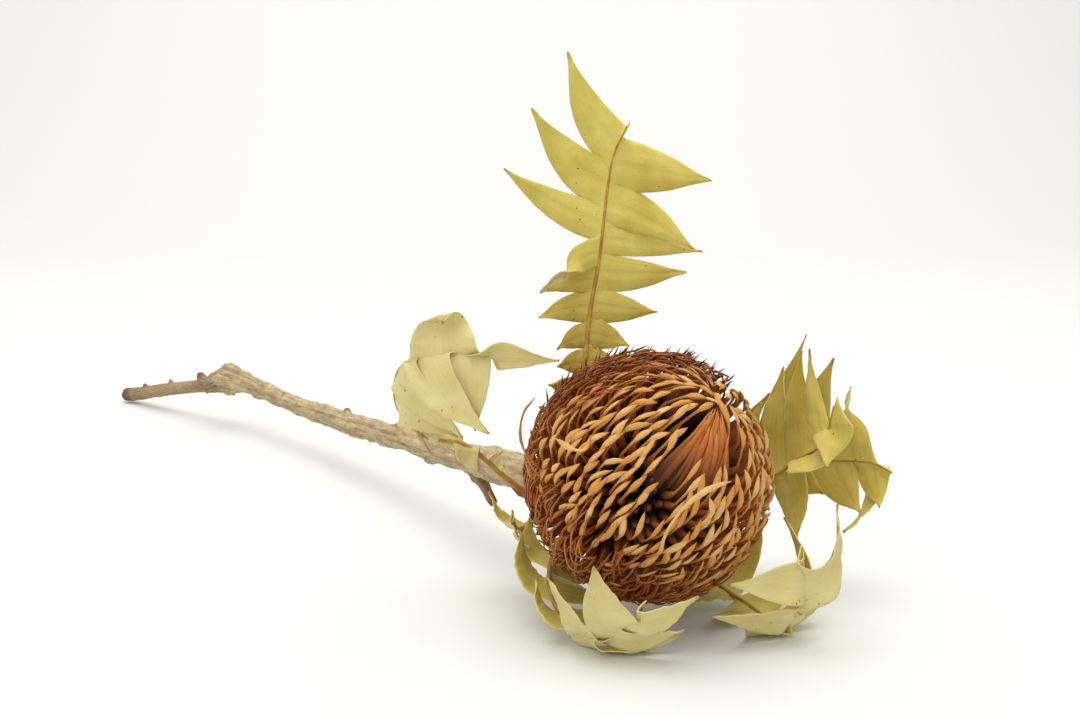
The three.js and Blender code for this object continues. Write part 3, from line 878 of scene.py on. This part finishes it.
# A flower's rings: where they stand along its six-part path, and their half widths and
# thicknesses in millimetres. The wide ones at the foot fill the inside of the head.
LIMB_STATIONS = (0, 1, 1.5, 2.0, 2.7, 3.4, 4.0, 4.7, 5.4, 6)
LIMB_WIDE = (1.3, 1.75, 1.25, 0.5, 0.36, 0.46, 0.88, 1.06, 0.72, 0.04)
LIMB_DEEP = (1.3, 1.6, 1.1, 0.46, 0.34, 0.36, 0.42, 0.40, 0.26, 0.03)


NARROWEST = 0.35  # the least share of the girth by which a sideways sway is widened


def ringed(points, stations, wide, deep, roll=0.0):
    """Rings along a curve through points, flat side out from the head."""
    places = [spline(points, s) for s in stations]
    rings = []
    for i, place in enumerate(places):
        along = (places[min(i + 1, len(places) - 1)] - places[max(i - 1, 0)]).normalized()
        out = place - HEAD_CENTRE
        up = (out - along * out.dot(along)).normalized()
        if roll:
            up = Quaternion(along, roll) @ up
        rings.append((place, along.cross(up) * wide[i], up * deep[i]))
    return rings


def clump(place, size):
    """How far flowers near a place lean together, in degrees from the apex and round."""
    at = place * 0.13
    return size * noise.noise(at), size * noise.noise(at + Vector((9.1, 3.7, 5.2)))


def limb_rings(rng, radius, angle, turn, settings, opened, rim):
    """A flower: a curved stalk out of the head, bent over to the apex into its limb."""
    size = settings.limb_length / 0.0088 * rng.uniform(0.82, 1.2) * (1 - 0.15 * opened)
    wide = settings.limb_width / 0.0019 * rng.uniform(0.85, 1.2) * (1 - 0.4 * opened)
    span = 6.8 * size
    edge = math.exp(-max(rim, 0.0) / 2.2)
    lift = rng.uniform(-0.9, 1.3) + 1.3 * opened * rng.random() + 1.6 * edge * rng.random()
    down, round_about = clump(head_place(radius, angle, turn), 7.0)
    sway = rng.uniform(-1, 1) * (2.6 + 3 * opened) + round_about
    sway /= max(math.sin(math.radians(angle)), NARROWEST)
    angle += 0.3 * down
    points = (
        head_place(15, angle + 22, turn),
        head_place(radius - 12.5, angle + 18, turn),
        head_place(radius - 4.8, angle + 12 + 0.2 * span, turn),
        head_place(radius - 1.9, angle + span, turn + 0.05 * sway),
        head_place(radius - 0.3 + 0.2 * lift, angle + 0.42 * span, turn + 0.2 * sway),
        head_place(radius + 0.2 + 0.6 * lift, angle - 0.2 * span, turn + 0.55 * sway),
        head_place(radius + 0.1 + 1.3 * lift, angle - 0.85 * span, turn + sway),
    )
    widths = [w * (wide if i > 3 else 1.0) for i, w in enumerate(LIMB_WIDE)]
    depths = [d * (wide if i > 3 else 1.0) for i, d in enumerate(LIMB_DEEP)]
    return ringed(points, LIMB_STATIONS, widths, depths, rng.uniform(-0.7, 0.7))


def stump_rings(radius, angle, turn):
    """The foot of a flower that has lost its limb."""
    points = (
        head_place(15, angle + 22, turn),
        head_place(radius - 15, angle + 19, turn),
        head_place(radius - 10, angle + 15, turn),
        head_place(radius - 8.5, angle + 14, turn),
    )
    stations = [3 * s / 6 for s in LIMB_STATIONS]
    wide = (1.3, 1.6, 1.6, 1.6, 1.5, 1.3, 1.1, 0.8, 0.5, 0.1)
    return ringed(points, stations, wide, wide)


STYLE_STEPS = 8


def style_rings(rng, radius, angle, turn, settings, top):
    """A wiry style that arches out of the head and over towards the apex."""
    steps = STYLE_STEPS
    reach = rng.uniform(13, 23)
    proud = rng.uniform(-0.6, 2.0) + 0.8 * top * rng.random()
    _, round_about = clump(head_place(radius, angle, turn), 9.0)
    sway = rng.uniform(-1, 1) * 6 + round_about
    sway /= max(math.sin(math.radians(angle)), NARROWEST)
    hook = rng.uniform(-2.8, 1.2) + (3.4 * top if rng.random() < 0.6 else 0.0)
    points = (
        head_place(radius - 10, angle + reach * 0.75, turn),
        head_place(radius - 2.5, angle + reach * 0.5, turn + 0.1 * sway),
        head_place(radius + 0.7 * proud, angle + reach * 0.15, turn + 0.35 * sway),
        head_place(radius + proud, angle - reach * 0.25, turn + 0.8 * sway),
        head_place(radius + 0.6 * proud + hook, angle - reach * 0.55, turn + sway),
    )
    half = settings.style_width / MM / 2 * rng.uniform(0.75, 1.25)
    stations = [4 * i / steps for i in range(steps + 1)]
    wide = [half * (1.2 - 0.5 * i / steps) for i in range(steps)] + [half * 0.2]
    return ringed(points, stations, wide, wide)


def fan_rings(rng, radius, turn, low, high, width):
    """One long flat tube of the combed fan that closes over the apex."""
    steps = 9
    sag = rng.uniform(-1.0, 0.6)
    wander = rng.uniform(-5, 5)
    points = (
        head_place(17, high + 26, turn),
        head_place(radius - 10, high + 14, turn),
        head_place(radius - 6.5 + sag, high, turn),
        head_place(radius - 4.6 + sag, high * 0.66 + low * 0.34, turn + 0.5 * wander),
        head_place(radius - 2.6 + 0.5 * sag, high * 0.33 + low * 0.67, turn + wander),
        head_place(radius - 0.6, low, turn + wander + rng.uniform(-8, 8)),
    )
    stations = [5 * i / steps for i in range(steps + 1)]
    shape = (1.3, 1.3, 1.1, 1.1, 1.15, 1.15, 1.05, 0.9, 0.6, 0.1)
    wide = [width * s for s in shape]
    deep = [0.42 * s for s in shape]
    return ringed(points, stations, wide, deep, rng.uniform(-0.6, 0.6))


# Loose ends that stand out from the rest: places in head millimetres, width and tone.
STRAYS = (
    (((-19, -26, 66), (-21, -29.5, 62.5), (-25, -30, 63), (-29.5, -30, 66)), 1.0, 0.95),
    (((-3, -32, 31), (0.5, -38, 34), (2, -41, 41), (7, -43, 49), (14, -42, 54), (20.5, -41, 56)),
     1.0, 1.0),
    (((10, -34, 40), (13.5, -37, 43), (15.5, -38, 46), (14.5, -38.5, 50.5)), 1.0, 0.8),
)
WIRES = (
    ((-24, -12, 44), (-34, -16, 51), (-39, -16, 60), (-39.5, -15, 69), (-35.5, -13, 75)),
    ((-24, -10, 46), (-35, -14, 54), (-40, -14, 62), (-39, -13, 70), (-37, -12, 73)),
)
DROOPING = 16  # wires that hang from the rim of the gap at the base
WIRE_STEPS = 14


def drooping_wire(rng):
    """A wire that leaves the rim of the gap, falls and curls in again."""
    angle, turn = rng.uniform(96, 112), rng.uniform(-150, -112)
    start = head_place(30, angle, turn)
    out = (start - HEAD_CENTRE).normalized()
    side = out.cross(Vector((0, 0, 1))).normalized() * rng.uniform(-2.5, 2.5)
    fall = rng.uniform(2.5, 6.5)
    first = start + out * rng.uniform(7, 9)
    second = first + out * rng.uniform(0.5, 2.0) - Vector((0, 0, fall)) + side
    third = second - out * rng.uniform(1, 3) - Vector((0, 0, 0.5 * fall)) + side
    fourth = third - out * rng.uniform(2, 4) + Vector((0, 0, rng.uniform(-1, 1.5))) + side
    return start, first, second, third, fourth


class BANKSIA_OT_head_axis(bpy.types.Operator):
    """Builds the dark woody axis that the flowers stand on"""

    bl_idname = "banksia.head_axis"
    bl_label = "Head Axis"

    def execute(self, context):
        settings = context.scene.banksia_head
        bm = bmesh.new()
        bm.verts.layers.float_color.new("Tone")
        bmesh.ops.create_icosphere(bm, subdivisions=5, radius=CORE_RADIUS)
        for vert in bm.verts:
            way = vert.co.normalized()
            below = smooth(-0.55, -0.9, way.z)
            vert.co += way * (1.1 * noise.noise(way * 9) - 0.8)
            if below > 0:
                wide = NECK_RADIUS * 1.4
                flat = Vector((way.x, way.y, 0)) * wide
                deep = -CORE_RADIUS - (NECK_LENGTH - CORE_RADIUS) * (1 - flat.length / wide)
                vert.co = vert.co.lerp(Vector((flat.x, flat.y, max(deep, -NECK_LENGTH))), below)
            vert.co = HEAD_CENTRE + HEAD_TURN @ vert.co
        for face in bm.faces:
            face.smooth = True
        finished("head_axis_core", bm, [core_finish(settings)], ["head_axis"])
        return {"FINISHED"}


class BANKSIA_OT_flowers(bpy.types.Operator):
    """Builds the flowers of the head, one piece for each tuft of the frame"""

    bl_idname = "banksia.flowers"
    bl_label = "Flowers"

    def execute(self, context):
        settings = context.scene.banksia_head
        rng = random.Random(settings.seed)
        radius = settings.radius / MM
        limb_rod = rod_mesh(6, len(LIMB_STATIONS) - 1)
        style_rod = rod_mesh(4, STYLE_STEPS)
        wire_rod = rod_mesh(5, WIRE_STEPS)
        self.tufts = {}
        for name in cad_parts:
            if name.startswith("flowers"):
                bm = bmesh.new()
                bm.verts.layers.float_color.new("Tone")
                self.tufts[name] = bm
        reach = 1 - math.cos(math.radians(LAST_FLOWERS))
        for k in range(settings.flowers):
            angle = math.degrees(math.acos(1 - reach * (k + 0.5) / settings.flowers))
            turn = (k * GOLDEN_ANGLE) % 360.0 - 180.0
            angle += rng.uniform(-2.0, 2.0)
            turn += rng.uniform(-2.0, 2.0) / max(math.sin(math.radians(angle)), 0.2)
            place = head_place(radius, angle, turn)
            rim = distance_to_hollow(place)
            opened = openness(place, angle)
            foot_angle = min(angle + 14, 147) if angle > 9 else angle
            tuft = self.tufts[tuft_of(foot_angle, turn)]
            chance = rng.random()
            if rim < 0 or in_fan(angle, turn):
                # The stumps carry only a flower's foot colours, so they show as painted shade in
                # the bare places.
                rings = stump_rings(radius, angle, turn)
                add_rod(tuft, limb_rod, rings, (chance, 0.6), 0, (0.0, 0.2))
                continue
            if rng.random() > 0.55 * opened:
                rings = limb_rings(rng, radius, angle, turn, settings, opened, rim)
                add_rod(tuft, limb_rod, rings, (chance, opened * rng.uniform(0.5, 1.0)), 0)
            top = smooth(0.2, 0.7, (place - HEAD_CENTRE).normalized().z) * opened
            for _ in range(int(opened * 2.9 + rng.random() * 0.9)):
                near, beside = angle + rng.uniform(-5, 5), turn + rng.uniform(-6, 6)
                rings = style_rings(rng, radius, near, beside, settings, top)
                tone = (rng.random(), 0.25 + 0.75 * max(top, rng.random() * 0.6))
                add_rod(tuft, style_rod, rings, tone, 1)
        self.add_fan(rng, radius, limb_rod)
        self.add_loose(rng, limb_rod, wire_rod)
        limbs, styles = flower_finish(settings), style_finish(settings)
        for name, bm in self.tufts.items():
            opened = name[8:9] in ("5", "6")
            piece = name.replace("flowers", "flower_tuft")
            finished(piece, bm, [limbs, styles], [name], turn_out=False)
        for rod in (limb_rod, style_rod, wire_rod):
            bpy.data.meshes.remove(rod)
        return {"FINISHED"}

    def add_fan(self, rng, radius, rod):
        low, high, start, end = FAN
        for i in range(FAN_FLOWERS):
            turn = start + (end - start) * (i + 0.5) / FAN_FLOWERS
            top = low + rng.uniform(0, 5) + 9 * (i % 3 == 1)
            foot, width = high + rng.uniform(-2, 5), rng.uniform(0.8, 1.2)
            rings = fan_rings(rng, radius, turn, top, foot, width)
            tuft = self.tufts[tuft_of(min(high + 12, 147), turn)]
            tone = (rng.uniform(0.1, 1.0), rng.uniform(0.0, 0.5))
            add_rod(tuft, rod, rings, tone, 0, (0.02, rng.uniform(0.42, 0.56)))

    def add_loose(self, rng, limb_rod, wire_rod):
        for points, half, chance in STRAYS:
            points = [Vector(p) for p in points]
            last = len(points) - 1
            stations = [last * s / 6 for s in LIMB_STATIONS]
            wide = [half * min(w, 0.35 + 0.15 * i) for i, w in enumerate(LIMB_WIDE)]
            deep = [half * min(d, 0.35 + 0.15 * i) for i, d in enumerate(LIMB_DEEP)]
            rings = ringed(points, stations, wide, deep)
            add_rod(self.tufts["flowers_3_1"], limb_rod, rings, (chance, 0.0), 0, (0.4, 0.9))
        for points in WIRES + tuple(drooping_wire(rng) for _ in range(DROOPING)):
            points = [Vector(p) for p in points]
            stations = [(len(points) - 1) * i / WIRE_STEPS for i in range(WIRE_STEPS + 1)]
            wide = [0.3] * WIRE_STEPS + [0.1]
            rings = ringed(points, stations, wide, wide)
            add_rod(self.tufts["flowers_4_1"], wire_rod, rings, (0.7, 0.3), 1)


# ---- The leaves ----

LOBE_COLUMNS = 12
LOBE_ROWS = 26


def leaf_frame(route, facing, part):
    """Place, along and face of a leaf at a share of its midrib."""
    at, along = route.at(part), route.along(part)
    face = Vector(facing[0]).lerp(Vector(facing[1]), part) - at
    return at, along, (face - along * face.dot(along)).normalized()


def lobe_line(at, along, face, turned, lobe, sag, turns):
    """Place, run, spread and normal at each row of a lobe, from the midrib to its tip."""
    tip = Vector(lobe[2:5])
    reach = tip - at
    bend = at + reach * 0.5 - along * (0.26 * reach.dot(along)) - face * (sag * reach.length)
    places = []
    for i in range(LOBE_ROWS + 1):
        out = i / LOBE_ROWS
        places.append(at * (1 - out) ** 2 + bend * (2 * out * (1 - out)) + tip * out * out)
    twist, curl = (math.radians(turn) for turn in turns)
    rows = []
    place = places[0]
    for i in range(LOBE_ROWS + 1):
        out = i / LOBE_ROWS
        near, far = places[max(i - 1, 0)], places[min(i + 1, LOBE_ROWS)]
        run = (far - near).normalized()
        spread = along.lerp(turned, min(1.0, 2 * out))
        spread = (spread - run * spread.dot(run)).normalized()
        back = math.copysign(1, spread.cross(run).dot(face))
        rolled = Quaternion(spread, curl * smooth(0.45, 1.0, out) * back)
        if i:
            place = place + rolled @ (places[i] - places[i - 1])
        run = rolled @ run
        spread = Quaternion(run, twist * smooth(0.25, 0.85, out)) @ spread
        normal = spread.cross(run)
        rows.append((place, run, spread, normal))
    if rows[1][3].dot(face) < 0:
        rows = [(p, r, w, -n) for p, r, w, n in rows]
    return rows


def add_lobe(bm, route, leaf, lobe, seed, age_and_shade):
    """One lobe: a fine grid shaped into a thin curved blade with a pointed tip."""
    part, width = lobe[0], lobe[1]
    sag = lobe[5] if len(lobe) > 5 else leaf["sag"]
    twist = lobe[6] if len(lobe) > 6 else 14 * noise.noise(Vector((seed, 0.3, 4.1)))
    curl = lobe[7] if len(lobe) > 7 else 22 * noise.noise(Vector((seed, 8.2, 1.7)))
    at, along, face = leaf_frame(route, leaf["facing"], part)
    reach = Vector(lobe[2:5]) - at
    turned = reach.cross(face).normalized()
    if turned.dot(along) < 0:
        turned = -turned
    rows = lobe_line(at, along, face, turned, lobe, sag, (twist, curl))
    lean = max(-1.0, min(1.0, 1.6 * reach.dot(along) / reach.length))
    grid = bmesh.ops.create_grid(bm, x_segments=LOBE_COLUMNS, y_segments=LOBE_ROWS, size=0.5)
    blade = bm.verts.layers.float_vector["Blade"]
    half = 0.5 * width / route.length
    for vert in grid["verts"]:
        across, out = vert.co.x + 0.5, vert.co.y + 0.5
        spot = across - 0.5
        place, _, spread, normal = rows[round(out * LOBE_ROWS)]
        bulge = 1 + (0.85 - 0.6 * lean * math.copysign(1, spot)) * out * (1 - out)
        point = 1 - 0.3 * smooth(0.6, 0.98, out)
        taper = width * max(1 - out, 0.0) ** 0.72 * bulge * point
        web = 1 + 0.35 * (1 - smooth(0.0, 0.14, out))
        foot = route.at(part + 2 * spot * half * web)
        near = smooth(0.0, 0.15, out)
        wave = noise.noise(Vector((across * 1.3 + seed, out * 3.0, seed * 0.7)))
        ripple = noise.noise(Vector((across * 2.6, out * 11.0 + seed, 2.0)))
        rim = (2 * spot) ** 2
        bent_back = 1.1 * wave * out + (0.15 + 0.55 * rim) * ripple - 0.11 * taper * rim
        fold = 0.05 * width * math.exp(-(spot / 0.07) ** 2) * (1 - out)
        place = foot.lerp(place + spread * spot * taper, near)
        vert.co = place + normal * ((bent_back - fold) * near)
        vert[blade] = (across, out, age_and_shade)
    faces = list({face_made for vert in grid["verts"] for face_made in vert.link_faces})
    for face_made in faces:
        face_made.normal_update()
    inmost = min(faces, key=lambda f: (f.calc_center_median() - at).length)
    if inmost.normal.dot(face) < 0:
        bmesh.ops.reverse_faces(bm, faces=faces)


def settled(height):
    """A height in head millimetres, eased so that a lobe lies on the floor, not below it."""
    rest, ease = 0.25, 0.4
    return rest + ease * math.log1p(math.exp((height - rest) / ease))


def add_midrib(bm, route, leaf, width):
    """The midrib: a thin tapered rod with a slight roughness."""
    steps = 60
    verts, faces = put_rod(bm, 8, steps)
    blade = bm.verts.layers.float_vector["Blade"]
    for vert in verts:
        part = vert.co.z / steps
        at, along, face = leaf_frame(route, leaf["facing"], part)
        side = along.cross(face)
        half = 0.5 * width * (1.1 - 0.8 * part) * (1 + 0.2 * noise.noise(at * 0.4))
        if part > 0.999:
            half *= 1.2
        vert.co = at + side * (vert.co.x * half) + face * (vert.co.y * half)
        vert[blade] = (0.5, part, 0.0)
    for face_made in faces:
        face_made.smooth = True
        face_made.material_index = 2


class BANKSIA_OT_leaves(bpy.types.Operator):
    """Builds the lobed leaves round the base of the head"""

    bl_idname = "banksia.leaves"
    bl_label = "Leaves"

    def execute(self, context):
        settings = context.scene.banksia_leaf
        upper = leaf_finish(
            "leaf_upper", settings.upper, settings.upper_pale, settings.upper_aged_and_shaded, settings, False
        )
        lower = leaf_finish(
            "leaf_lower", settings.lower, settings.lower_pale, settings.lower, settings, True
        )
        rib = rib_finish(settings)
        for number, (name, leaf) in enumerate(LEAVES.items()):
            route = Route(leaf["midrib"])
            bm = bmesh.new()
            bm.verts.layers.float_vector.new("Blade")
            for side in ("left", "right"):
                for i, lobe in enumerate(leaf[side]):
                    seed = number * 7.3 + i * 2.9 + (51.7 if side == "left" else 0.0)
                    age_and_shade = 0.5 + 0.5 * noise.noise(Vector((seed, 2.2, 5.1)))
                    # On the top leaf, the lobes near its base take painted shade in place of
                    # random age.
                    if name == "top_leaf":
                        age_and_shade = 1 - smooth(0.28, 0.72, lobe[0])
                    add_lobe(bm, route, leaf, lobe, seed, age_and_shade)
            for vert in bm.verts:
                vert.co.z = settled(vert.co.z)
            sheet = bm.faces[:]
            made = bmesh.ops.solidify(bm, geom=sheet, thickness=settings.thickness / MM)
            for face in bm.faces:
                face.smooth = True
            for item in made["geom"]:
                if isinstance(item, bmesh.types.BMFace):
                    item.material_index = 1
            add_midrib(bm, route, leaf, settings.midrib / MM)
            finished(name + "_blade", bm, [upper, lower, rib], [name], turn_out=False)
        return {"FINISHED"}


# ---- The stem ----

KNOB_AT = 97.0  # the knob's place along the stem
STEM_SIDES = 48
STEM_RINGS = 460
CUT_INSET = 0.3  # how far the furrowed skin lies inside the frame's stem


class BANKSIA_OT_stem(bpy.types.Operator):
    """Builds the cut stem with its furrowed bark, knob, buds and broken stub"""

    bl_idname = "banksia.stem"
    bl_label = "Stem"

    def execute(self, context):
        settings = context.scene.banksia_stem
        furrow = settings.furrow / MM
        route = Route([p[:3] for p in STEM_ROUTE], 600)
        steps = STEM_RINGS
        bm = straight_rod(STEM_SIDES, steps)
        tone = bm.verts.layers.float_color.new("Tone")
        grain = bm.verts.layers.float_vector.new("Grain")
        places = [route.at(i / steps) for i in range(steps + 1)]
        frames = carried_frames(places, Vector((0, 0, 1)))
        radii = [self.radius_at(route.param(i / steps)) for i in range(steps + 1)]
        buds = [self.bud(route, frames, radii, bud) for bud in STEM_BUDS]
        for vert in bm.verts:
            ring = round(vert.co.z)
            _, side, up = frames[ring]
            turn = math.atan2(vert.co.y, vert.co.x)
            way = side * math.cos(turn) + up * math.sin(turn)
            run = ring / steps * route.length
            base = places[ring] + way * radii[ring]
            ridge = noise.noise(Vector((math.cos(turn) * 3.2, math.sin(turn) * 3.2, run * 0.045)))
            fine = noise.noise(Vector((math.cos(turn) * 8, math.sin(turn) * 8, run * 0.16)))
            lump = noise.noise(base * 0.13)
            knotty = math.exp(-(((run - KNOB_AT) / 11) ** 2))
            woody = 0.5 + 0.5 * smooth(70, 110, run) + 1.6 * knotty
            depth = woody * (1.5 * ridge + 0.8 * fine) * furrow + 0.7 * woody * lump
            red = 0.0
            for centre, out, size, redness in buds:
                away = base - centre
                off = (away - out * away.dot(out)).length
                swell = math.exp(-((off / size[0]) ** 2)) if away.dot(out) > -radii[ring] else 0.0
                depth += swell * size[2] * 0.8
                red = max(red, redness * smooth(0.25, 0.8, swell))
            vert.co = places[ring] + way * max(radii[ring] + depth - CUT_INSET, 0.6)
            vert.co.z = max(vert.co.z, 0.02)
            brown = 0.85 * (1 - smooth(2, 9, run)) + 0.4 * (1 - smooth(80, 110, run))
            vert[tone] = (1 - smooth(-0.45, 0.05, ridge + 0.6 * fine), red, brown, 1.0)
            vert[grain] = (math.cos(turn) * 4, math.sin(turn) * 4, run * 0.12)
        for stub in STUBS:
            self.add_stub(bm, stub)
        for face in bm.faces:
            face.smooth = True
        finished("stem_bark_rod", bm, [bark_finish(settings)], ["stem"])
        return {"FINISHED"}

    def radius_at(self, param):
        i = min(int(param), len(STEM_ROUTE) - 2)
        t = smooth(0, 1, param - i)
        return STEM_ROUTE[i][3] + (STEM_ROUTE[i + 1][3] - STEM_ROUTE[i][3]) * t

    def bud(self, route, frames, radii, bud):
        part, turn, size, redness = bud
        ring = round(part * STEM_RINGS)
        _, side, up = frames[ring]
        angle = math.radians(turn)
        out = (side * math.cos(angle) + up * math.sin(angle)).normalized()
        return route.at(part) + out * radii[ring], out, size, redness

    def add_stub(self, bm, stub):
        start, end, wide, narrow = Vector(stub[0]), Vector(stub[1]), stub[2], stub[3]
        steps = 14
        verts, _ = put_rod(bm, 12, steps)
        tone = bm.verts.layers.float_color["Tone"]
        grain = bm.verts.layers.float_vector["Grain"]
        along = (end - start).normalized()
        side = along.orthogonal().normalized()
        up = along.cross(side)
        for vert in verts:
            part = vert.co.z / steps
            at = start.lerp(end, part)
            rough = 1 + 0.35 * noise.noise(Vector((vert.co.x * 2, vert.co.y * 2, part * 3)))
            half = (wide + (narrow - wide) * part) * rough
            vert.co = at + (side * vert.co.x + up * vert.co.y) * half
            vert[tone] = (0.3, 0.75 * part, 0.4, 1.0)
            vert[grain] = (vert.co.x, vert.co.y, 0.2 * vert.co.z)


# ---- The stage ----

SWEEP = 1.2  # where the floor starts to rise behind, and the radius of its bend, in metres

class BANKSIA_OT_stage(bpy.types.Operator):
    """Sets up the pale floor, the soft light and the camera"""

    bl_idname = "banksia.stage"
    bl_label = "Stage"

    def execute(self, context):
        settings = context.scene.banksia_stage
        self.add_floor(settings)
        self.add_lights(context, settings)
        self.add_camera(context, settings)
        return {"FINISHED"}

    def add_floor(self, settings):
        bm = bmesh.new()
        bmesh.ops.create_grid(bm, x_segments=24, y_segments=120, size=3.0)
        for vert in bm.verts:
            vert.co.y += 0.5
            rise = max(vert.co.y - SWEEP, 0.0)
            angle = min(rise / SWEEP, math.pi / 2)
            if rise > 0:
                beyond = rise - angle * SWEEP
                vert.co.z = SWEEP * (1 - math.cos(angle)) + beyond
                vert.co.y = SWEEP + SWEEP * math.sin(angle)
        for face in bm.faces:
            face.smooth = True
        mesh = bpy.data.meshes.new("floor_sweep")
        bm.to_mesh(mesh)
        bm.free()
        floor = bpy.data.objects.new("floor_sweep", mesh)
        bpy.context.collection.objects.link(floor)
        f = Finish("floor_paper", 0.9)
        shaded = [0.985 * c for c in settings.floor]
        mesh.materials.append(f.done(f.mottled(2.0, 0.25, settings.floor, shaded)))

    def add_lights(self, context, settings):
        world = bpy.data.worlds.new("studio")
        world.use_nodes = True
        back = world.node_tree.nodes["Background"]
        back.inputs["Color"].default_value = (1.0, 0.995, 0.975, 1)
        back.inputs["Strength"].default_value = settings.ambient
        context.scene.world = world
        for name, place, aim, size, power in (
            ("overhead", (0.0, -0.1, 1.3), (0.0, -0.1, 0.0), 1.3, settings.key),
            ("front", (-0.7, -1.5, 0.9), (0.05, -0.1, 0.03), 0.9, settings.key * 0.3),
            ("backdrop", (0.0, 2.0, 1.7), (0.0, 2.1, 0.0), 1.6, settings.backdrop),
        ):
            lamp = bpy.data.lights.new(name, "AREA")
            lamp.shape = "SQUARE"
            lamp.size = size
            lamp.energy = power
            lamp.color = (1.0, 0.985, 0.95)
            lit = bpy.data.objects.new(name, lamp)
            lit.location = place
            direction = Vector(aim) - Vector(place)
            lit.rotation_euler = direction.to_track_quat("-Z", "Y").to_euler()
            context.collection.objects.link(lit)

    def add_camera(self, context, settings):
        data = bpy.data.cameras.new("view")
        data.lens = settings.lens
        data.sensor_width = 36
        data.clip_start = 0.01
        camera = bpy.data.objects.new("view", data)
        camera.location = (Vector((-34, -456, 158)) + HEAD_FOOT) * MM
        camera.rotation_euler = (math.radians(90 - 9.1), 0, 0)
        context.collection.objects.link(camera)
        context.scene.camera = camera
        context.scene.view_settings.view_transform = "Standard"


class BANKSIA_PT_panel(bpy.types.Panel):
    """The flower's operators and settings"""

    bl_label = "Dried Banksia"
    bl_idname = "BANKSIA_PT_panel"
    bl_space_type = "VIEW_3D"
    bl_region_type = "UI"
    bl_category = "Banksia"

    def draw(self, context):
        scene = context.scene
        for label, operators, settings in (
            ("Head", ("banksia.head_axis", "banksia.flowers"), scene.banksia_head),
            ("Leaves", ("banksia.leaves",), scene.banksia_leaf),
            ("Stem", ("banksia.stem",), scene.banksia_stem),
            ("Stage", ("banksia.stage",), scene.banksia_stage),
        ):
            box = self.layout.box()
            box.label(text=label)
            for name in settings.__annotations__:
                box.prop(settings, name)
            for operator in operators:
                box.operator(operator)


SETTINGS = (
    ("banksia_head", BanksiaHeadSettings),
    ("banksia_leaf", BanksiaLeafSettings),
    ("banksia_stem", BanksiaStemSettings),
    ("banksia_stage", BanksiaStageSettings),
)
CLASSES = (
    BANKSIA_OT_head_axis,
    BANKSIA_OT_flowers,
    BANKSIA_OT_leaves,
    BANKSIA_OT_stem,
    BANKSIA_OT_stage,
    BANKSIA_PT_panel,
)


def register():
    for name, group in SETTINGS:
        bpy.utils.register_class(group)
        setattr(bpy.types.Scene, name, PointerProperty(type=group))
    for cls in CLASSES:
        bpy.utils.register_class(cls)


def unregister():
    for cls in reversed(CLASSES):
        bpy.utils.unregister_class(cls)
    for name, group in reversed(SETTINGS):
        delattr(bpy.types.Scene, name)
        bpy.utils.unregister_class(group)


def main():
    register()
    bpy.ops.banksia.head_axis()
    bpy.ops.banksia.flowers()
    bpy.ops.banksia.leaves()
    bpy.ops.banksia.stem()
    bpy.ops.banksia.stage()


if __name__ == "__main__":
    main()
